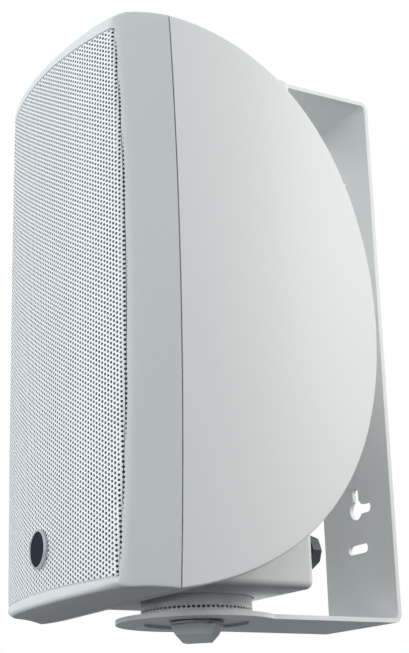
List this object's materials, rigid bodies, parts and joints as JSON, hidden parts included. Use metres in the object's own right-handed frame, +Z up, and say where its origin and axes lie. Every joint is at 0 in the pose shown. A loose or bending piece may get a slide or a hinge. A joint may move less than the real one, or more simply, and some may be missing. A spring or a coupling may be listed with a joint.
{
  "type": "wall loudspeaker",
  "caption": "Compact two-way wall loudspeaker with round side cheeks and a bowed perforated grille, turning between toothed ratchet joints in a U bracket.",
  "frame": {"origin": "on the pan axis, half way up, between the two ratchet joints", "axes": "+Z up along the pan axis, the grille faces -Y and the wall is on the +Y side, +X to the viewer's right when looking at the grille"},
  "size_m": [0.1818, 0.202, 0.3322],
  "materials": {
    "cabinet_plastic": "fine moulded texture",
    "frame_plastic": "fine moulded texture",
    "ratchet_plastic": "fine moulded texture",
    "knob_plastic": "fine moulded texture",
    "dark_plastic": "satin",
    "grille_paint": "satin powder coat",
    "bracket_paint": "satin powder coat",
    "steel": "zinc plated",
    "brass": "turned",
    "gasket_rubber": "matte",
    "cloth": "open knit",
    "badge_silver": "polished ring",
    "badge_blue": "gloss",
    "ferrite": "ground",
    "paper": "pressed pulp",
    "copper": "enamelled winding",
    "board": "solder mask",
    "film": "film capacitor"
  },
  "bodies": {
    "bracket": {"bracket": "bracket_paint", "lower_bracket_ratchet": "ratchet_plastic", "upper_bracket_ratchet": "ratchet_plastic", "lower_washer": "steel", "upper_washer": "steel"},
    "cabinet": {"rear_cabinet": "cabinet_plastic", "front_frame": "frame_plastic", "seam_gasket": "gasket_rubber", "cabinet_screws": "steel", "grille": "grille_paint", "grille_cloth": "cloth", "badge_ring": "badge_silver", "badge_disc": "badge_blue", "lower_cabinet_ratchet": "ratchet_plastic", "upper_cabinet_ratchet": "ratchet_plastic", "lower_insert": "brass", "upper_insert": "brass", "selector_switch": "dark_plastic", "terminal_block": "dark_plastic", "terminal_screws": "steel", "woofer_basket": "steel", "woofer_surround": "gasket_rubber", "woofer_spider": "cloth", "woofer_front_plate": "steel", "woofer_magnet": "ferrite", "woofer_yoke": "steel", "woofer_screws": "steel", "tweeter_face_plate": "dark_plastic", "tweeter_surround": "gasket_rubber", "tweeter_front_plate": "steel", "tweeter_magnet": "ferrite", "tweeter_yoke": "steel", "tweeter_screws": "steel", "crossover_board": "board", "crossover_coils": "copper", "crossover_capacitors": "film", "transformer_core": "steel", "transformer_winding": "film", "board_screws": "steel"},
    "lower_clamp": {"lower_clamp_knob": "knob_plastic", "lower_clamp_stud": "steel"},
    "upper_clamp": {"upper_clamp_knob": "knob_plastic", "upper_clamp_stud": "steel"},
    "selector": {"selector_knob": "dark_plastic", "selector_shaft": "steel"},
    "woofer_diaphragm": {"woofer_cone": "paper", "woofer_dust_cap": "paper", "woofer_voice_coil": "copper"},
    "tweeter_diaphragm": {"tweeter_dome": "cloth", "tweeter_voice_coil": "copper"}
  },
  "joints": [
    {"name": "cabinet_pan", "type": "hinge", "parent": "bracket", "child": "cabinet", "pos_m": [0, 0, 0], "axis": [0, 0, 1], "range_deg": [-90, 90]},
    {"name": "lower_clamp_turn", "type": "hinge", "parent": "bracket", "child": "lower_clamp", "pos_m": [0, 0, -0.1538], "axis": [0, 0, 1], "continuous": true},
    {"name": "upper_clamp_turn", "type": "hinge", "parent": "bracket", "child": "upper_clamp", "pos_m": [0, 0, 0.1538], "axis": [0, 0, 1], "continuous": true},
    {"name": "selector_turn", "type": "hinge", "parent": "cabinet", "child": "selector", "pos_m": [0.049, 0.0367, -0.1235], "axis": [0, 1, 0], "range_deg": [-150, 150]},
    {"name": "woofer_stroke", "type": "slide", "parent": "cabinet", "child": "woofer_diaphragm", "axis": [0, 1, 0], "range_m": [-0.003, 0.003], "stiffness_N_per_m": 1500, "deforming": ["woofer_surround", "woofer_spider"]},
    {"name": "tweeter_stroke", "type": "slide", "parent": "cabinet", "child": "tweeter_diaphragm", "axis": [0, 1, 0], "range_m": [-0.0003, 0.0003], "stiffness_N_per_m": 3000, "deforming": ["tweeter_surround"]}
  ]
}
